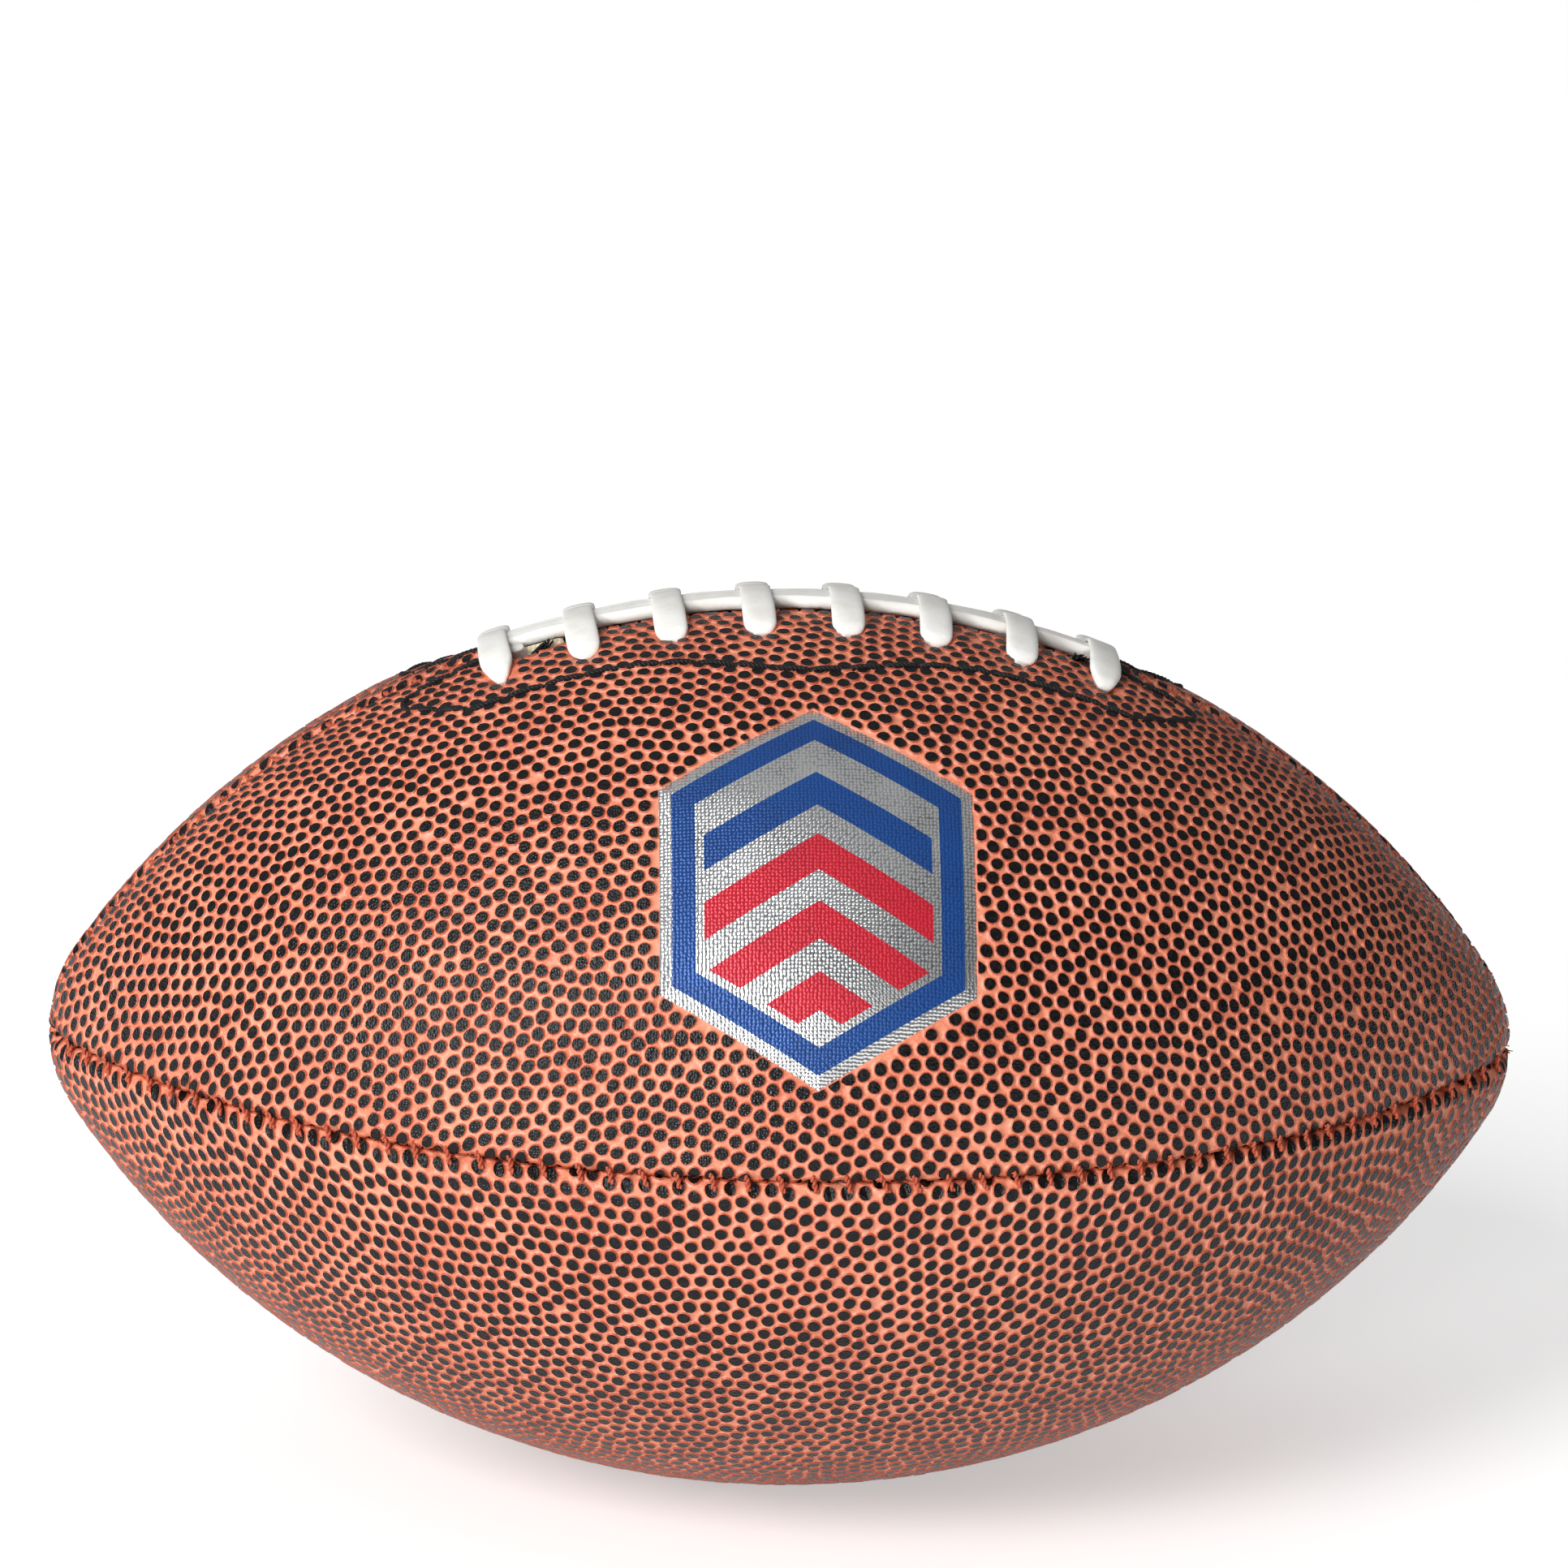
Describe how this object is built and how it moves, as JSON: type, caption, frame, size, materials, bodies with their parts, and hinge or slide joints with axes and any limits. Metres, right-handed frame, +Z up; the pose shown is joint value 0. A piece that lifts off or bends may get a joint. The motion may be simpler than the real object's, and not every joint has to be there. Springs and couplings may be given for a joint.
{
  "type": "american football",
  "caption": "Small laced ball with pointed ends: pebbled panels sewn over a rubber bladder, white lace over a slit, needle valve on the far side.",
  "frame": {"origin": "under the middle of the ball, on the surface that it lies on", "axes": "+X along the ball's long axis, +Z up through the lacing, -Y towards the front seam"},
  "size_m": [0.1696, 0.104, 0.1074],
  "materials": {
    "cover": "moulded composite cover, dark raised pebbles on a salmon ground",
    "lining": "woven cotton lining",
    "facing": "split composite, unfinished",
    "stitch": "twisted black waxed thread",
    "seam_thread": "twisted rust-coloured thread",
    "lace": "soft white plastic, satin",
    "tongue": "cream canvas",
    "bladder": "matte black rubber",
    "valve": "moulded rubber"
  },
  "bodies": {
    "root": {"front_upper_panel": "cover", "front_lower_panel": "cover", "rear_upper_panel": "cover", "rear_lower_panel": "cover", "front_upper_lining": "lining", "front_lower_lining": "lining", "rear_upper_lining": "lining", "rear_lower_lining": "lining", "front_lace_facing": "facing", "rear_lace_facing": "facing", "front_facing_stitch": "stitch", "rear_facing_stitch": "stitch", "top_seam_thread": "seam_thread", "front_seam_thread": "seam_thread", "rear_seam_thread": "seam_thread", "bottom_seam_thread": "seam_thread", "lace": "lace", "tongue": "tongue", "bladder": "bladder", "valve_housing": "valve", "valve_plug": "valve"}
  },
  "joints": []
}
